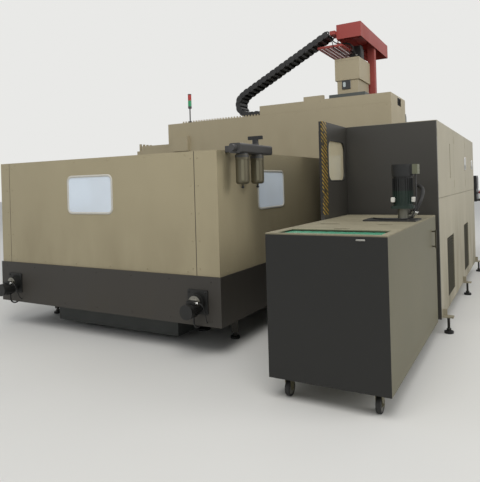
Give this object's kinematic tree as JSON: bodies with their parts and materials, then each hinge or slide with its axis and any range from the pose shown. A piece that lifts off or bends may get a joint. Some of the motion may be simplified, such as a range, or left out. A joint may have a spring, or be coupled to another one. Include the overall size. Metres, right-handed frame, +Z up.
{
  "type": "double-column machining center",
  "caption": "Bridge-type milling machine: a travelling T-slot table inside sheet-metal guards, a cross beam with a vertical ram, chip augers, coolant tank and electrical cabinet.",
  "frame": {"origin": "on the floor under the centre of the bridge and of the bed, at the foot of the middle levelling pad", "axes": "+X along the cross beam towards the electrical cabinet, +Y along the table's travel away from the coolant tank's end, +Z up"},
  "size_m": [6.59, 10.062, 4.17],
  "materials": {
    "iron": "painted casting, machined faces",
    "steel": "bright steel",
    "motor_black": "black motor enamel",
    "beige_paint": "beige powder coat",
    "dark_paint": "dark grey textured powder coat",
    "pale_paint": "pale grey powder coat",
    "glass": "clear laminated pane",
    "red_paint": "red enamel",
    "black_plastic": "moulded black",
    "clear_plastic": "smoky bowl",
    "coloured_lenses": "red and green lenses on a dark base",
    "filter_mat": "olive filter mat",
    "red_plastic": "red mushroom",
    "black_rubber": "rubber"
  },
  "bodies": {
    "base": {"bed": "iron", "levelling_feet": "steel", "columns": "iron", "cross_beam": "iron", "linear_rails": "steel", "axis_servos": "motor_black", "beam_cover": "beige_paint", "guard_frame": "dark_paint", "end_panels": "beige_paint", "side_panels": "beige_paint", "skirts": "dark_paint", "window_rims": "pale_paint", "window_panes": "glass", "chip_troughs": "steel", "auger_drives": "dark_paint", "fixed_way_covers": "steel", "filter_manifold": "black_plastic", "filter_bowls": "clear_plastic", "stack_light": "coloured_lenses", "hydraulic_cabinet": "beige_paint", "magazine_guard": "dark_paint", "end_guard": "dark_paint", "cabinet": "pale_paint", "cabinet_vents": "filter_mat", "drive_modules": "dark_paint", "coolant_tank": "pale_paint", "tank_lids": "pale_paint", "coolant_pump": "dark_paint", "pump_hose": "black_rubber"},
    "table": {"table": "iron", "table_way_covers": "steel"},
    "near_middle": {"near_middle_cover": "steel"},
    "far_middle": {"far_middle_cover": "steel"},
    "table_screw_body": {"table_screw": "steel"},
    "saddle_body": {"saddle": "iron", "head_cover": "beige_paint", "z_servo": "motor_black", "carrier_arm": "red_paint", "arm_tray": "red_paint", "cable_chain": "black_plastic"},
    "saddle_screw_body": {"saddle_screw": "steel"},
    "ram_body": {"ram": "steel"},
    "spindle_body": {"spindle": "steel"},
    "auger_left_body": {"auger_left": "steel"},
    "auger_right_body": {"auger_right": "steel"},
    "knob_body": {"filter_knob": "black_plastic"},
    "drum_body": {"tool_drum": "steel"},
    "door_near_body": {"door_near": "pale_paint"},
    "door_middle_body": {"door_middle": "pale_paint"},
    "door_far_body": {"door_far": "pale_paint"},
    "operator_door_body": {"operator_door": "beige_paint"},
    "pendant_arm_body": {"pendant_arm": "dark_paint"},
    "pendant_body": {"pendant": "black_plastic"},
    "stop_body": {"stop_button": "red_plastic"},
    "swivel_left_body": {"swivel_left": "steel"},
    "swivel_right_body": {"swivel_right": "steel"},
    "wheel_fl": {"wheel_front_left": "black_rubber"},
    "wheel_fr": {"wheel_front_right": "black_rubber"},
    "wheel_rl": {"wheel_rear_left": "black_rubber"},
    "wheel_rr": {"wheel_rear_right": "black_rubber"}
  },
  "joints": [
    {"name": "table_slide", "type": "slide", "parent": "base", "child": "table", "axis": [0, 1, 0], "range_m": [-1.5, 1.5]},
    {"name": "near_middle_slide", "type": "slide", "parent": "base", "child": "near_middle", "axis": [0, 1, 0], "range_m": [-0.75, 0.75]},
    {"name": "far_middle_slide", "type": "slide", "parent": "base", "child": "far_middle", "axis": [0, 1, 0], "range_m": [-0.75, 0.75]},
    {"name": "table_screw_spin", "type": "hinge", "parent": "base", "child": "table_screw_body", "pos_m": [0, 0, 0.48], "axis": [0, 1, 0], "continuous": true},
    {"name": "saddle_slide", "type": "slide", "parent": "base", "child": "saddle_body", "axis": [1, 0, 0], "range_m": [-2.1, 0], "deforming": ["cable_chain"]},
    {"name": "saddle_screw_spin", "type": "hinge", "parent": "base", "child": "saddle_screw_body", "pos_m": [0, 0.58, 2.36], "axis": [1, 0, 0], "continuous": true},
    {"name": "ram_slide", "type": "slide", "parent": "saddle_body", "child": "ram_body", "axis": [0, 0, 1], "range_m": [-0.7, 0]},
    {"name": "spindle_spin", "type": "hinge", "parent": "ram_body", "child": "spindle_body", "pos_m": [1.1, 1.01, 1.8], "axis": [0, 0, 1], "continuous": true},
    {"name": "auger_left_spin", "type": "hinge", "parent": "base", "child": "auger_left_body", "pos_m": [-1.275, 0, 0.5], "axis": [0, 1, 0], "continuous": true},
    {"name": "auger_right_spin", "type": "hinge", "parent": "base", "child": "auger_right_body", "pos_m": [1.275, 0, 0.5], "axis": [0, 1, 0], "continuous": true},
    {"name": "knob_turn", "type": "hinge", "parent": "base", "child": "knob_body", "pos_m": [1.66, -4.267, 1.96], "axis": [0, 0, 1], "range_deg": [0, 90]},
    {"name": "drum_spin", "type": "hinge", "parent": "base", "child": "drum_body", "pos_m": [1.9625, -1.76, 1.545], "axis": [1, 0, 0], "continuous": true},
    {"name": "door_near_swing", "type": "hinge", "parent": "base", "child": "door_near_body", "pos_m": [3.16, -3.196, 1.765], "axis": [0, 0, 1], "range_deg": [-110, 0]},
    {"name": "door_middle_swing", "type": "hinge", "parent": "base", "child": "door_middle_body", "pos_m": [3.16, -1.85933, 1.765], "axis": [0, 0, 1], "range_deg": [-110, 0]},
    {"name": "door_far_swing", "type": "hinge", "parent": "base", "child": "door_far_body", "pos_m": [3.16, -0.52267, 1.765], "axis": [0, 0, 1], "range_deg": [-110, 0]},
    {"name": "operator_door_slide", "type": "slide", "parent": "base", "child": "operator_door_body", "axis": [0, 1, 0], "range_m": [0, 1.05]},
    {"name": "pendant_swing", "type": "hinge", "parent": "base", "child": "pendant_arm_body", "pos_m": [3.04, 0.87, 1.77], "axis": [0, 0, 1], "range_deg": [-45, 45]},
    {"name": "pendant_turn", "type": "hinge", "parent": "pendant_arm_body", "child": "pendant_body", "pos_m": [3.04, 1.28, 1.6], "axis": [0, 0, 1], "range_deg": [-90, 90]},
    {"name": "stop_press", "type": "slide", "parent": "pendant_body", "child": "stop_body", "axis": [-1, 0, 0], "range_m": [0, 0.006], "stiffness_N_per_m": 1500, "springref_m": -0.002},
    {"name": "swivel_left_turn", "type": "hinge", "parent": "base", "child": "swivel_left_body", "pos_m": [2.37, -3.44, 0.15], "axis": [0, 0, 1], "continuous": true},
    {"name": "swivel_right_turn", "type": "hinge", "parent": "base", "child": "swivel_right_body", "pos_m": [3.03, -3.44, 0.15], "axis": [0, 0, 1], "continuous": true},
    {"name": "wheel_fl_roll", "type": "hinge", "parent": "base", "child": "wheel_fl", "pos_m": [2.37, -5.19, 0.06], "axis": [1, 0, 0], "continuous": true},
    {"name": "wheel_fr_roll", "type": "hinge", "parent": "base", "child": "wheel_fr", "pos_m": [3.03, -5.19, 0.06], "axis": [1, 0, 0], "continuous": true},
    {"name": "wheel_rl_roll", "type": "hinge", "parent": "swivel_left_body", "child": "wheel_rl", "pos_m": [2.37, -3.475, 0.06], "axis": [1, 0, 0], "continuous": true},
    {"name": "wheel_rr_roll", "type": "hinge", "parent": "swivel_right_body", "child": "wheel_rr", "pos_m": [3.03, -3.475, 0.06], "axis": [1, 0, 0], "continuous": true}
  ],
  "couplings": [
    {"joint": "near_middle_slide", "follows": "table_slide", "ratio": 0.5},
    {"joint": "far_middle_slide", "follows": "table_slide", "ratio": 0.5},
    {"joint": "table_screw_spin", "follows": "table_slide", "rad_per_m": 157.08},
    {"joint": "saddle_screw_spin", "follows": "saddle_slide", "rad_per_m": 251.33}
  ]
}
